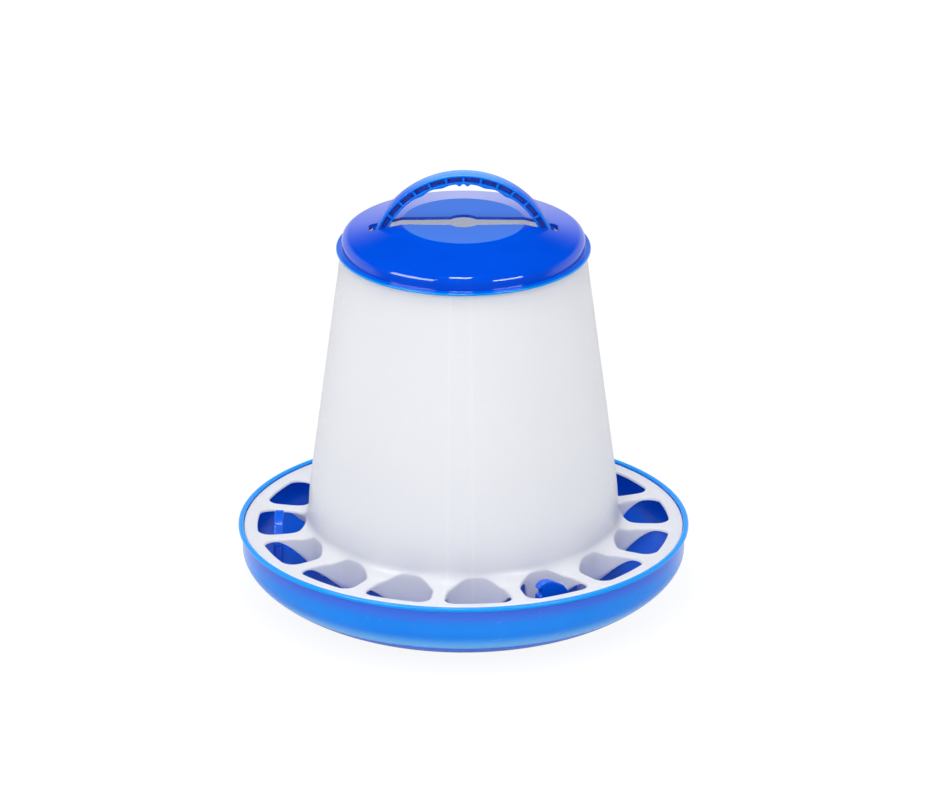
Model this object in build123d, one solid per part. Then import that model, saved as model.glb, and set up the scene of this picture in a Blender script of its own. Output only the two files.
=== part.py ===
from build123d import *
import os
from math import cos, radians, sin, sqrt, tan

os.makedirs("parts", exist_ok=True)

# Poultry feeder for about 3 kg of pellets, four plastic mouldings.
# A round tray stands on the ground and a conical hopper with a ring of pecking ports sits
# in its rim, a lid closes the mouth and a ribbed carrying handle stands up through the lid.
# Origin: centre of the tray's underside. +Z is up, and the handle spans the X direction.

# Fits shared by the mouldings.
seat_gap = 0.3           # height between two mouldings where one rests on the other
side_gap = 0.6           # room beside a piece that drops or turns into its place

# Tray.
rim_radius = 150.0       # outer edge of the rolled lip
tray_height = 50.0       # underside to the top of the lip
lip_height = 2.7
lip_width = 3.4
lip_overhang = 2.4       # the lip stands out past the collar
lip_round = 0.9
collar_height = 3.6      # stepped collar under the lip
collar_step = 0.4        # the collar stands out past the wall
tray_wall = 2.2
floor_thickness = 2.5
base_radius = 104.0      # flat ring that the tray stands on
corner_height = 33.0     # where the straight wall starts to curve inward
corner_drop = 13.0       # how far the curve keeps the wall's direction
corner_run = 18.0        # how far out the curve leans as it leaves the underside
corner_lift = 5.0        # and how far up
seat_depth = 3.3         # top of the lip down to the ledge that carries the hopper
ledge_width = 1.7
spreader_radius = 62.0   # cone in the middle of the floor that sends the feed outward
spreader_height = 26.0
spreader_tip = 6.0

# Ports in the hopper's flange.
port_count = 15
port_phase = -61.6       # azimuth of the port that holds the first hook
port_setback = 1.2       # inner end of a port, outside the crease where the flare starts
port_margin = 8.8        # outer end of a port to the flange's edge
web_width = 9.8          # material left between two ports
port_inner_corner = 16.0
port_outer_corner = 9.0
port_lip_depth = 3.0     # the edge of every port is turned down this far below the flange's top

# Hopper.
hopper_wall = 2.0
flange_thickness = 1.5
flange_gap = 0.5         # between the flange's edge and the tray's rim
mouth_radius = 81.2
hopper_top = 244.7
hip_radius = 102.8       # the cone ends here and the wall runs almost upright
hip_height = 74.0
hip_blend = 12.0         # the bend at the hip is eased this far up and down
crease_radius = 103.3
crease_height = 57.5
crease_step = 0.4        # small step where the flare starts
scoop_drop = 19.0        # depth of the scoop wall under the flange at the port's inner end
scoop_reach = 21.5       # radial run over which its bottom edge curves up to the turned-down edge
scoop_bend = 13.5        # place along that run where the curve's two ends point
scoop_wall = 1.6

# Hooks on the tray, which hold the hopper when it is turned.
hook_count = 3
hook_offset = 2.1        # middle of the hook, outside the middle of its port
hook_depth = 6.0         # radial thickness
hook_nose = 11.4         # tip of the nose, beside the port's middle line
hook_overhang = 2.2      # the nose reaches this far over the groove
hook_groove_play = 0.5   # height left above and below the web's edge in the groove
hook_back = 15.5         # foot of the sloping side
hook_rise = 5.4          # top of the head above the flange
hook_nose_height = 1.8
hook_round = 1.2
hook_passage = 3.0       # the scoop wall on the nose side stops this far from the port's inner end

# Lid.
lid_sheet = 2.0
lip_radius = 84.4
lid_lip_height = 1.8
skirt_radius = 80.7
skirt_height = 10.8
shoulder_round = 8.0     # outside radius of the shoulder above the skirt
disc_radius = 43.5
disc_height = 20.2       # flat disc above the lid's underside
slot_half_length = 62.8
slot_width = 15.0        # in the middle
slot_end_width = 11.8
slot_corner = 3.0
slot_hole_radius = 12.3
spigot_depth = 4.5       # ring that centres the lid in the mouth
spigot_wall = 1.6

# Handle.
handle_rise = 54.5       # top of the handle above the lid's underside
handle_radius = 61.75    # outside of the arch
handle_depth = 6.6       # radial depth of the arch
handle_width = 10.4
outer_flange = 1.6
inner_flange = 1.5
handle_web = 1.8
rib_thickness = 1.6
rib_pitch = 11.3         # degrees between two cross ribs
rib_count = 11
arch_angle = 67.0        # the arch runs this far to each side of the top
foot_reach = 70.4        # middle of the foot, from the axis
foot_height = 13.0
foot_thickness = 6.0
knee_drop = 8.0          # foot top below the hopper's mouth, where the leg turns upright
grip_bump = 1.1          # the inner edge swells by this much between the fingers
grip_angles = (16.5, 30.0)   # places of the swellings, to each side of the top
cord_notch_half = 2.7    # half the spacing of the two teeth that keep a hanging cord centred
cord_tooth = 1.6
cord_tooth_half = 2.7    # half the width of a tooth at its root
socket_wall = 1.8
socket_play = 0.3
socket_floor = 2.0

# Heights and radii that follow from the sizes above.
lip_bottom = tray_height - lip_height
collar_radius = rim_radius - lip_overhang
collar_bottom = lip_bottom - collar_height
wall_radius = collar_radius - collar_step
ledge_height = tray_height - seat_depth
flange_bottom = ledge_height + seat_gap
flange_top = flange_bottom + flange_thickness
port_lip_bottom = flange_top - port_lip_depth
seat_radius = rim_radius - lip_width
flange_radius = seat_radius - flange_gap
ledge_radius = seat_radius - ledge_width
lid_bottom = hopper_top + seat_gap
handle_top = lid_bottom + handle_rise
arch_center = handle_top - handle_radius
port_pitch = 360 / port_count
hook_pitch = 360 / hook_count
port_inner = crease_radius + port_setback
port_outer = flange_radius - port_margin
port_length = port_outer - port_inner
hook_radius = (port_inner + port_outer) / 2 + hook_offset


def turned(outline):
    """Solid of revolution about the Z axis, from a closed outline given as radius and height."""
    return revolve(Plane.XZ * make_face(outline), Axis.Z)


def around(shape, count, pitch, phase=0.0):
    """Copies of a shape, turned about the Z axis."""
    return [Rot(0, 0, phase + pitch * index) * shape for index in range(count)]


def tray_corner(inset, floor):
    """Curved corner of the tray, from the flat floor up to the straight wall."""
    radius = wall_radius - inset
    return Bezier(
        (base_radius, floor),
        (base_radius + corner_run, floor + corner_lift),
        (radius, corner_height - corner_drop),
        (radius, corner_height),
    )


def port_outline(grow=0.0):
    """Face of one port on the X axis, larger all round by grow."""
    edge = web_width / 2 - grow
    slope = tan(radians(port_pitch / 2))
    inner = port_inner - grow
    outer = port_outer + grow
    offset = edge / cos(radians(port_pitch / 2))
    inner_half = inner * slope - offset
    # Where the side line, parallel to the web, meets the outer end's circle.
    a = 1 + slope**2
    b = -2 * slope * offset
    c = offset**2 - outer**2
    corner = (-b + sqrt(b**2 - 4 * a * c)) / (2 * a)
    corner_half = corner * slope - offset
    outline = Polyline(
        (corner, -corner_half),
        (inner, -inner_half),
        (inner, inner_half),
        (corner, corner_half),
    )
    outline += ThreePointArc((corner, corner_half), (outer, 0), (corner, -corner_half))
    face = make_face(outline)
    corners = face.vertices().sort_by(Axis.X)
    face = fillet(corners[0:2], min(port_inner_corner, port_length * 0.5) + grow)
    corners = face.vertices().sort_by(Axis.X)
    return fillet(corners[-2:], min(port_outer_corner, port_length * 0.28) + grow)


def hook():
    """One hook, standing on the tray's floor at azimuth 0 with its nose towards -Y."""
    groove_bottom = port_lip_bottom - hook_groove_play
    groove_top = flange_top + hook_groove_play
    head_top = flange_top + hook_rise
    neck = -hook_nose + hook_overhang
    outline = Polyline(
        (hook_back, 0),
        (-hook_nose, 0),
        (-hook_nose, groove_bottom),
        (neck, groove_bottom),
        (neck, groove_top),
        (-hook_nose, groove_top),
        (-hook_nose, groove_top + hook_nose_height),
    )
    outline += ThreePointArc(
        (-hook_nose, groove_top + hook_nose_height),
        (-hook_nose / 3, head_top),
        (hook_back / 2, flange_top),
    )
    outline += Line((hook_back / 2, flange_top), (hook_back, groove_bottom - hook_back / 2))
    outline += Line((hook_back, groove_bottom - hook_back / 2), (hook_back, 0))
    side = Plane(origin=(hook_radius - hook_depth / 2, 0, 0), x_dir=(0, 1, 0), z_dir=(1, 0, 0))
    solid = extrude(side * make_face(outline), hook_depth)
    head = [edge for edge in solid.edges() if edge.center().Z > groove_top + hook_nose_height]
    head = [edge for edge in head if abs(edge.center().X - hook_radius) > hook_depth / 4]
    return fillet(head, hook_round)


def make_tray():
    """Blue tray: bowl, rolled lip, ledge for the hopper, feed spreader and three hooks."""
    outside = tray_corner(0, 0)
    outside += Polyline(
        (wall_radius, corner_height),
        (wall_radius, collar_bottom),
        (collar_radius, collar_bottom),
        (collar_radius, lip_bottom),
        (rim_radius, lip_bottom),
        (rim_radius, tray_height),
        (0, tray_height),
        (0, 0),
        (base_radius, 0),
    )
    body = turned(outside)
    rim_edges = body.edges().filter_by(GeomType.CIRCLE)
    rim_edges = [edge for edge in rim_edges if abs(edge.radius - rim_radius) < 0.01]
    body = fillet(rim_edges, lip_round)
    inside = tray_corner(tray_wall, floor_thickness)
    inside += Polyline(
        (wall_radius - tray_wall, corner_height),
        (ledge_radius, ledge_height),
        (seat_radius, ledge_height),
        (seat_radius, tray_height * 2),
        (0, tray_height * 2),
        (0, floor_thickness),
        (base_radius, floor_thickness),
    )
    room = turned(inside)
    hooks = around(hook(), hook_count, hook_pitch, port_phase)
    body -= room
    body += [piece & room for piece in hooks]
    on_base = (Align.CENTER, Align.CENTER, Align.MIN)
    body += Cone(spreader_radius, spreader_tip, spreader_height, align=on_base)
    hollow_height = spreader_height - floor_thickness
    hollow_radius = spreader_radius - tray_wall * 2
    return body - Cone(hollow_radius, spreader_tip / 2, hollow_height, align=on_base)


def flare_outline(inset, drop):
    """Outer face of the hopper with both at 0, or its inner face with the two wall thicknesses."""
    start = crease_radius - crease_step
    radius = crease_height - flange_top
    middle = start + radius
    hip = (hip_radius - inset, hip_height)
    taper = (hip_radius - mouth_radius) / (hopper_top - hip_height)
    foot_taper = (crease_radius - hip_radius) / (hip_height - crease_height)
    above = (hip[0] - taper * hip_blend, hip_height + hip_blend)
    below = (hip[0] + foot_taper * hip_blend, hip_height - hip_blend)
    outline = Line((mouth_radius - inset, hopper_top), above)
    outline += Bezier(above, hip, below)
    outline += Polyline(below, (crease_radius - inset, crease_height), (start - inset, crease_height))
    outline += ThreePointArc(
        (start - inset, crease_height),
        (middle - (radius + inset) * sqrt(0.5), crease_height - (radius + drop) * sqrt(0.5)),
        (middle, flange_top - drop),
    )
    return outline, (middle, flange_top - drop)


def handle_socket():
    """Box inside the mouth, on the +X side, that the handle's foot snaps into."""
    half_thickness = foot_thickness / 2 + socket_play
    half_width = handle_width / 2 + socket_play
    top = hopper_top - knee_drop
    bottom = top - foot_height - socket_floor
    box_start = foot_reach - half_thickness - socket_wall
    box = Pos((box_start + hip_radius) / 2, 0, (top + bottom) / 2) * Box(
        hip_radius - box_start,
        2 * (half_width + socket_wall),
        top - bottom,
    )
    room = Pos(foot_reach, 0, top) * Box(2 * half_thickness, 2 * half_width, 2 * foot_height)
    return box - room


def make_hopper():
    """White hopper: cone, flare and flange with ports, scoop walls and two handle sockets."""
    outer, outer_end = flare_outline(0, 0)
    inner, inner_end = flare_outline(hopper_wall, flange_thickness)
    shell = outer + inner
    shell += Line((mouth_radius, hopper_top), (mouth_radius - hopper_wall, hopper_top))
    shell += Polyline(
        outer_end,
        (flange_radius, flange_top),
        (flange_radius, flange_bottom),
        inner_end,
    )
    body = turned(shell)
    # Everything that the outer face covers, which trims the scoop walls and the sockets.
    cover = outer + Polyline(
        outer_end,
        (flange_radius, flange_top),
        (flange_radius, 0),
        (0, 0),
        (0, hopper_top),
        (mouth_radius, hopper_top),
    )
    cover = turned(cover)
    scoop_bottom = flange_top - scoop_drop
    scoop_zone = Bezier(
        (port_inner, scoop_bottom),
        (port_inner + scoop_bend, port_lip_bottom),
        (port_inner + scoop_reach, port_lip_bottom),
    )
    scoop_zone += Polyline(
        (port_inner + scoop_reach, port_lip_bottom),
        (port_outer + 2 * scoop_wall, port_lip_bottom),
        (port_outer + 2 * scoop_wall, crease_height),
        (0, crease_height),
        (0, scoop_bottom),
        (port_inner, scoop_bottom),
    )
    scoop = extrude(port_outline(scoop_wall), crease_height) & cover & turned(scoop_zone)
    # In a hooked port the hook's body passes below the web, so that side has only the turned-down edge.
    passage = Pos(port_inner + hook_passage, hook_overhang - hook_nose, 0) * Box(
        port_outer - port_inner,
        hopper_top,
        port_lip_bottom,
        align=(Align.MIN, Align.MAX, Align.MIN),
    )
    ports_per_hook = port_count // hook_count
    for index in range(port_count):
        wall = scoop - passage if index % ports_per_hook == 0 else scoop
        body += Rot(0, 0, port_phase + port_pitch * index) * wall
    body -= around(extrude(port_outline(), hip_height), port_count, port_pitch, port_phase)
    for socket in around(handle_socket(), 2, 180):
        body += socket & cover
    return body


def make_lid():
    """Blue lid: lip, skirt, sloping top, flat disc and the slot that the handle passes."""
    top_slope = (disc_height - skirt_height) / (skirt_radius - disc_radius)
    outline = Polyline(
        (0, lid_bottom + disc_height),
        (disc_radius, lid_bottom + disc_height),
        (skirt_radius, lid_bottom + skirt_height),
        (skirt_radius, lid_bottom + lid_lip_height),
        (lip_radius, lid_bottom + lid_lip_height),
        (lip_radius, lid_bottom),
        (mouth_radius - hopper_wall - side_gap, lid_bottom),
        (mouth_radius - hopper_wall - side_gap, lid_bottom - spigot_depth),
        (mouth_radius - hopper_wall - side_gap - spigot_wall, lid_bottom - spigot_depth),
        (mouth_radius - hopper_wall - side_gap - spigot_wall, lid_bottom + lid_lip_height),
        (skirt_radius - lid_sheet, lid_bottom + lid_lip_height),
        (skirt_radius - lid_sheet, lid_bottom + skirt_height - lid_sheet + top_slope * lid_sheet),
        (disc_radius, lid_bottom + disc_height - lid_sheet),
        (0, lid_bottom + disc_height - lid_sheet),
        (0, lid_bottom + disc_height),
    )
    body = turned(outline)
    for inset in (0, lid_sheet):
        round_edges = body.edges().filter_by(GeomType.CIRCLE)
        shoulder = [edge for edge in round_edges if abs(edge.radius - skirt_radius + inset) < 0.01]
        shoulder = [edge for edge in shoulder if edge.center().Z > lid_bottom + skirt_height / 2]
        body = fillet(shoulder, shoulder_round - inset)
    round_edges = body.edges().filter_by(GeomType.CIRCLE)
    lip = [edge for edge in round_edges if abs(edge.radius - lip_radius) < 0.01]
    body = fillet(lip, lid_lip_height * 0.4)
    slot = make_face(
        Polyline(
            (-slot_half_length, -slot_end_width / 2),
            (0, -slot_width / 2),
            (slot_half_length, -slot_end_width / 2),
            (slot_half_length, slot_end_width / 2),
            (0, slot_width / 2),
            (-slot_half_length, slot_end_width / 2),
            (-slot_half_length, -slot_end_width / 2),
        )
    )
    ends = slot.vertices().sort_by(Axis.X)
    slot = fillet([ends[0], ends[1], ends[-1], ends[-2]], slot_corner)
    cutter = Pos(0, 0, lid_bottom + lid_lip_height) * extrude(slot + Circle(slot_hole_radius), disc_height)
    return body - cutter


def arch_point(radius, angle):
    """Point of the handle's side view, at an angle from the top towards +X."""
    return (radius * sin(radians(angle)), arch_center + radius * cos(radians(angle)))


def arch_band(outer, inner, angle):
    """Side-view face between two radii, to the same angle on both sides of the top."""
    outline = ThreePointArc(arch_point(outer, -angle), arch_point(outer, 0), arch_point(outer, angle))
    outline += Line(arch_point(outer, angle), arch_point(inner, angle))
    outline += ThreePointArc(arch_point(inner, angle), arch_point(inner, 0), arch_point(inner, -angle))
    outline += Line(arch_point(inner, -angle), arch_point(outer, -angle))
    return make_face(outline)


def leg_face():
    """Side-view face of the +X leg, from the arch's end down and out to the foot."""
    outer = arch_point(handle_radius, arch_angle)
    inner = arch_point(handle_radius - handle_depth, arch_angle)
    knee = hopper_top - knee_drop
    foot_bottom = knee - foot_height
    return make_face(
        Polyline(
            inner,
            outer,
            (foot_reach + foot_thickness / 2, knee + foot_thickness / 2),
            (foot_reach + foot_thickness / 2, foot_bottom),
            (foot_reach - foot_thickness / 2, foot_bottom),
            (foot_reach - foot_thickness / 2, knee),
            inner,
        )
    )


def slab(face, width):
    """Side-view face made solid, centred on the XZ plane."""
    return extrude(Plane.XZ * face, width / 2, both=True)


def make_handle():
    """Blue handle: I-section arch with cross ribs, two legs and their feet."""
    inner_radius = handle_radius - handle_depth
    body = slab(arch_band(handle_radius, handle_radius - outer_flange, arch_angle), handle_width)
    body += slab(arch_band(inner_radius + inner_flange, inner_radius, arch_angle), handle_width)
    web = arch_band(handle_radius - outer_flange / 2, inner_radius + inner_flange / 2, arch_angle)
    body += slab(web, handle_web)
    ribs = []
    for index in range(rib_count):
        angle = (index - (rib_count - 1) / 2) * rib_pitch
        middle = arch_point(handle_radius - handle_depth / 2, angle)
        rib = Box(rib_thickness, handle_width, handle_depth - outer_flange / 2 - inner_flange / 2)
        ribs.append(Pos(middle[0], 0, middle[1]) * Rot(0, angle, 0) * rib)
    body += ribs
    # Swellings of the inner edge under the fingers, and two teeth for a hanging cord.
    below_pockets = Pos(0, arch_center) * Circle(inner_radius + inner_flange / 2)
    for angle in [side * angle for side in (-1, 1) for angle in grip_angles]:
        middle = arch_point(inner_radius + inner_flange, angle)
        swelling = Pos(middle[0], middle[1]) * Circle(inner_flange + grip_bump)
        body += slab(swelling & below_pockets, handle_width)
    tip = inner_radius - cord_tooth
    root = arch_center + inner_radius + inner_flange / 2
    for side in (-1, 1):
        tooth = make_face(
            Polyline(
                (side * cord_notch_half - cord_tooth_half, root),
                (side * cord_notch_half, arch_center + tip),
                (side * cord_notch_half + cord_tooth_half, root),
                (side * cord_notch_half - cord_tooth_half, root),
            )
        )
        body += slab(tooth, handle_width)
    leg = slab(leg_face(), handle_width)
    body += leg
    body += mirror(leg, about=Plane.YZ)
    return body


for name, piece in {
    "tray": make_tray(),
    "hopper": make_hopper(),
    "lid": make_lid(),
    "handle": make_handle(),
}.items():
    export_step(piece, "parts/" + name + ".step")
    print(name, len(piece.solids()), round(piece.volume))
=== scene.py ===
import math

import bmesh
import bpy
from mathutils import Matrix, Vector


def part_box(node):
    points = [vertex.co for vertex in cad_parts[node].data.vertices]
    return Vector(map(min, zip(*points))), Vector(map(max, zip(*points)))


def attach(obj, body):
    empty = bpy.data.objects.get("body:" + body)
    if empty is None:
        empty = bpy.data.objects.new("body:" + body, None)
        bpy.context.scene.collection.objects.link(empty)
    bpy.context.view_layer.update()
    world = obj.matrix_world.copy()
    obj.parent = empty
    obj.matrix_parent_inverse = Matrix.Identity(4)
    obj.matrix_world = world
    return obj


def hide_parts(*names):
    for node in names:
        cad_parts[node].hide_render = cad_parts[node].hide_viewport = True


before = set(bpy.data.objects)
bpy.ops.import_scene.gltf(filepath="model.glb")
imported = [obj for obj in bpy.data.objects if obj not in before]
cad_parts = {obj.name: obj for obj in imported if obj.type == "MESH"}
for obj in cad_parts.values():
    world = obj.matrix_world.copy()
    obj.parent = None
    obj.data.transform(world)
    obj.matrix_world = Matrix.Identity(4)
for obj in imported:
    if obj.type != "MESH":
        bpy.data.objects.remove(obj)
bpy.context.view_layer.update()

# Tray: one blue polypropylene moulding, a round bowl with a rolled lip, an inner ledge
# that carries the hopper, and a low cone in the middle that sends the feed outward.
# Injection moulded together with the hooks; its section is turned about the Z axis.
MM = 0.001
rim_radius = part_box("tray")[1].x / MM
tray_height = 50.0
lip_height = 2.7
lip_width = 3.4
collar_radius = rim_radius - 2.4
collar_bottom = tray_height - lip_height - 3.6
wall_radius = collar_radius - 0.4
seat_radius = rim_radius - lip_width
ledge_radius = seat_radius - 1.7
ledge_height = tray_height - 3.3
base_radius = 104.0
corner_height = 33.0
corner_drop = 13.0
corner_run = 18.0
corner_lift = 5.0
tray_wall = 2.2
tray_sides = 288
floor_thickness = 2.5
spreader_radius = 62.0
spreader_height = 26.0
on_axis = 1e-6


def weighed(points, weights):
    """The point of the section plane that weighted points give."""
    return tuple(sum(w * p[k] for w, p in zip(weights, points)) for k in (0, 1))


def bezier(a, b, c, d, steps):
    """Points of a cubic curve in the section plane, without its first point."""
    points = []
    for index in range(1, steps + 1):
        t = index / steps
        u = 1 - t
        points.append(weighed((a, b, c, d), (u**3, 3 * u * u * t, 3 * u * t * t, t**3)))
    return points


def rounded(corners, steps=5, guard=0.5):
    """Outline from (x, y, rounding) corners, with a guard point beside each arc on a long side."""
    points = []
    last = len(corners) - 1
    for index, (x, y, rounding) in enumerate(corners):
        if rounding <= 0 or index in (0, last):
            points.append((x, y))
            continue
        here = Vector((x, y))
        back = Vector(corners[index - 1][:2]) - here
        ahead = Vector(corners[index + 1][:2]) - here
        half = back.angle(ahead) / 2
        reach = min(rounding / math.tan(half), min(back.length, ahead.length) * 0.49)
        rounding = reach * math.tan(half)
        inward = (back.normalized() + ahead.normalized()).normalized()
        middle = here + inward * (rounding / math.sin(half))
        start = here + back.normalized() * reach
        end = here + ahead.normalized() * reach
        if back.length > 2.5 * (reach + guard):
            points.append(tuple(start + back.normalized() * guard))
        for step in range(steps + 1):
            spoke = (start - middle).slerp(end - middle, step / steps, start - middle)
            points.append(tuple(middle + spoke.normalized() * rounding))
        if ahead.length > 2.5 * (reach + guard):
            points.append(tuple(end + ahead.normalized() * guard))
    return points


def turned(radius, angle, *height):
    """The point at a radius and an angle round the Z axis, with its height if one is given."""
    return (radius * math.cos(angle), radius * math.sin(angle), *height)


def between(lower, upper, closed=True):
    """Faces between two rings of as many points, or between two open rows."""
    count = len(lower)
    faces = []
    for index in range(count if closed else count - 1):
        after = (index + 1) % count
        faces.append([lower[index], lower[after], upper[after], upper[index]])
    return faces


def lathe(section, sides):
    """Points and faces of a section turned about Z; section points on the axis become poles."""
    points = []
    rings = []
    for radius, height in section:
        start = len(points)
        if radius < on_axis:
            rings.append([start] * sides)
            points.append((0.0, 0.0, height))
            continue
        rings.append(list(range(start, start + sides)))
        points += [turned(radius, 2 * math.pi * side / sides, height) for side in range(sides)]
    faces = []
    for lower, upper in zip(rings, rings[1:]):
        for face in between(lower, upper):
            face = [v for k, v in enumerate(face) if v != face[k - 1]]
            if len(face) > 2:
                faces.append(face)
    return points, faces


def outward(piece):
    """Merges doubled points and turns every face of a closed piece outwards."""
    shell = bmesh.new()
    shell.from_mesh(piece.data)
    bmesh.ops.remove_doubles(shell, verts=shell.verts, dist=2e-6)
    bmesh.ops.recalc_face_normals(shell, faces=shell.faces)
    shell.to_mesh(piece.data)
    shell.free()
    piece.data.shade_smooth()
    return piece


def in_scene(name, data):
    """A new object of the scene."""
    thing = bpy.data.objects.new(name, data)
    bpy.context.scene.collection.objects.link(thing)
    return thing


def piece_from(name, points, faces, material=None):
    """A smooth-shaded object from points in millimetres and their faces."""
    mesh = bpy.data.meshes.new(name)
    mesh.from_pydata([(x * MM, y * MM, z * MM) for x, y, z in points], [], faces)
    mesh.validate()
    piece = in_scene(name, mesh)
    if material:
        mesh.materials.append(material)
    return outward(piece)


def settled(piece, name):
    """The plain mesh that a piece's live modifiers give, in an object of its own."""
    bpy.context.view_layer.update()
    evaluated = piece.evaluated_get(bpy.context.evaluated_depsgraph_get())
    mesh = bpy.data.meshes.new_from_object(evaluated)
    bpy.data.objects.remove(piece)
    mesh.name = name
    return in_scene(name, mesh)


def fill(tree, node, inputs):
    """Gives each named or numbered input of a node a value or another node's output."""
    for name, value in dict(inputs).items():
        if isinstance(value, bpy.types.NodeSocket):
            tree.links.new(value, node.inputs[name])
        else:
            node.inputs[name].default_value = value


def add_node(tree, kind, inputs=(), **settings):
    """A new node with its settings and its inputs."""
    node = tree.nodes.new(kind)
    for name, value in settings.items():
        setattr(node, name, value)
    fill(tree, node, inputs)
    return node


def maths(tree, operation, *terms):
    """The value that a Math node gives for its terms."""
    node = add_node(tree, "ShaderNodeMath", enumerate(terms), operation=operation)
    return node.outputs["Value"]


def mixed(tree, data_type, factor, a, b):
    """What a Mix node gives between two colours or two numbers."""
    inputs = {"Factor": factor, "A": a, "B": b}
    return add_node(tree, "ShaderNodeMix", inputs, data_type=data_type).outputs["Result"]


def ranged(tree, value, low, high, least=0.0, most=1.0, easing="LINEAR"):
    """A number that goes from least to most as a value goes from low to high."""
    inputs = {"Value": value, "From Min": low, "From Max": high, "To Min": least, "To Max": most}
    node = add_node(tree, "ShaderNodeMapRange", inputs, interpolation_type=easing)
    return node.outputs["Result"]


def own_coordinates(tree):
    """A piece's own X, Y and Z."""
    place = add_node(tree, "ShaderNodeTexCoord").outputs["Object"]
    return add_node(tree, "ShaderNodeSeparateXYZ", {"Vector": place}).outputs


def moulded_skin():
    """Shared surface of moulded polypropylene: slow ripple, fine orange peel and faint scuffs."""
    ripple_detail, peel_detail, scuff_detail = 2.0, 3.0, 4.0
    peel_scale = 900.0
    scuff_turn = (0.4, 0.9, 0.3)
    scuff_scale = (40.0, 900.0, 300.0)
    scuff_start, scuff_full = 0.62, 0.78
    ripple_roughness, scuff_roughness = 0.06, 0.35
    peel_height = 0.01
    group = bpy.data.node_groups.new("moulded_skin", "ShaderNodeTree")
    for name, start in (("Ripple scale", 60.0), ("Scuffs", 0.3), ("Base roughness", 0.2)):
        socket = group.interface.new_socket(name, in_out="INPUT", socket_type="NodeSocketFloat")
        socket.default_value = start
    for name in ("Roughness", "Height", "Mottle"):
        group.interface.new_socket(name, in_out="OUTPUT", socket_type="NodeSocketFloat")
    source = add_node(group, "NodeGroupInput").outputs
    place = add_node(group, "ShaderNodeTexCoord").outputs["Object"]

    def noise(vector, scale, detail):
        inputs = {"Vector": vector, "Scale": scale, "Detail": detail}
        return add_node(group, "ShaderNodeTexNoise", inputs).outputs["Fac"]

    ripple = noise(place, source["Ripple scale"], ripple_detail)
    peel = noise(place, peel_scale, peel_detail)
    stretch = {"Vector": place, "Rotation": scuff_turn, "Scale": scuff_scale}
    drawn_out = add_node(group, "ShaderNodeMapping", stretch)
    streaks = noise(drawn_out.outputs["Vector"], 1.0, scuff_detail)
    ridge = ranged(group, streaks, scuff_start, scuff_full)
    scuffs = maths(group, "MULTIPLY", ridge, source["Scuffs"])
    varied = maths(group, "MULTIPLY_ADD", ripple, ripple_roughness, source["Base roughness"])
    roughness = maths(group, "MULTIPLY_ADD", scuffs, scuff_roughness, varied)
    height = maths(group, "MULTIPLY_ADD", peel, peel_height, ripple)
    results = {"Roughness": roughness, "Height": height, "Mottle": ripple}
    add_node(group, "NodeGroupOutput", results)
    return group


skin = moulded_skin()


def plastic(name, deep, light, roughness, ripple, gloss, relief_height=0.0001):
    """Moulded plastic whose colour drifts between two tones, with the shared skin over it."""
    material = bpy.data.materials.new(name)
    material.use_nodes = True
    tree = material.node_tree
    own_values = {"Ripple scale": ripple, "Base roughness": roughness}
    surface = add_node(tree, "ShaderNodeGroup", own_values, node_tree=skin).outputs
    bumps = {"Strength": 1.0, "Distance": relief_height, "Height": surface["Height"]}
    relief = add_node(tree, "ShaderNodeBump", bumps)
    finish = {
        "Base Color": mixed(tree, "RGBA", surface["Mottle"], (*deep, 1), (*light, 1)),
        "Roughness": surface["Roughness"],
        "Normal": relief.outputs["Normal"],
        "IOR": 1.49,
        "Specular IOR Level": gloss,
    }
    fill(tree, tree.nodes["Principled BSDF"], finish)
    return material


def eased(tree, value, start, full, unit=MM):
    """A mask that goes from 0 to 1 as a value goes from start to full, in mm or another unit."""
    rises = float(start < full)
    low, high = min(start, full) * unit, max(start, full) * unit
    return ranged(tree, value, low, high, 1.0 - rises, rises, "SMOOTHSTEP")


def tinted(tree, mask, tint):
    """Lays a tint over the base colour of a plastic where a mask is 1."""
    base = tree.nodes["Principled BSDF"].inputs["Base Color"]
    mix = mixed(tree, "RGBA", mask, base.links[0].from_socket, (*tint, 1))
    tree.links.new(mix, base)


def banded(material, bands):
    """Paints light and shade in height bands in mm: (side's mask or None, low, its fade, high, its
    fade, colour).
    """
    tree = material.node_tree
    height = own_coordinates(tree)["Z"]
    for side, low, low_fade, high, high_fade, tint in bands:
        above = eased(tree, height, low - low_fade / 2, low + low_fade / 2)
        below = eased(tree, height, high + high_fade / 2, high - high_fade / 2)
        mask = maths(tree, "MULTIPLY", above, below)
        if side:
            on_side = add_node(tree, "ShaderNodeAttribute", attribute_name=side)
            mask = maths(tree, "MULTIPLY", mask, on_side.outputs["Fac"])
        tinted(tree, mask, tint)
    return material


tray_blue = banded(
    plastic(
        "tray_blue", (0.004, 0.20, 0.78), (0.012, 0.25, 0.86), roughness=0.2, ripple=14, gloss=0.4
    ),
    [
        # Painted shade: the whole inside of the bowl is tinted a darker, deeper blue.
        ("inside", -5.0, 1.0, 48.8, 0.8, (0.0, 0.11, 0.74)),
        # Painted shade: a darker violet band on the outside wall just under the lip.
        ("outside", 39.5, 8.0, 46.6, 0.6, (0.045, 0.155, 0.74)),
        # Painted light: the lip's top and outer face are tinted a lighter cyan where they catch
        # light.
        (None, 49.2, 0.8, 60.0, 1.0, (0.0, 0.30, 0.88)),
        ("outside", 46.8, 0.6, 60.0, 1.0, (0.0, 0.30, 0.88)),
        # Painted reflection: a light band low on the outside wall, the white floor seen in it.
        ("outside", 15.0, 1.2, 22.0, 12.0, (0.17, 0.55, 1.0)),
        # Painted reflection: a saturated blue strip round the foot, where the wall turns under and
        # faces the floor.
        ("outside", -2.0, 1.0, 15.0, 0.9, (0.0, 0.20, 1.0)),
    ],
)

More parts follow.
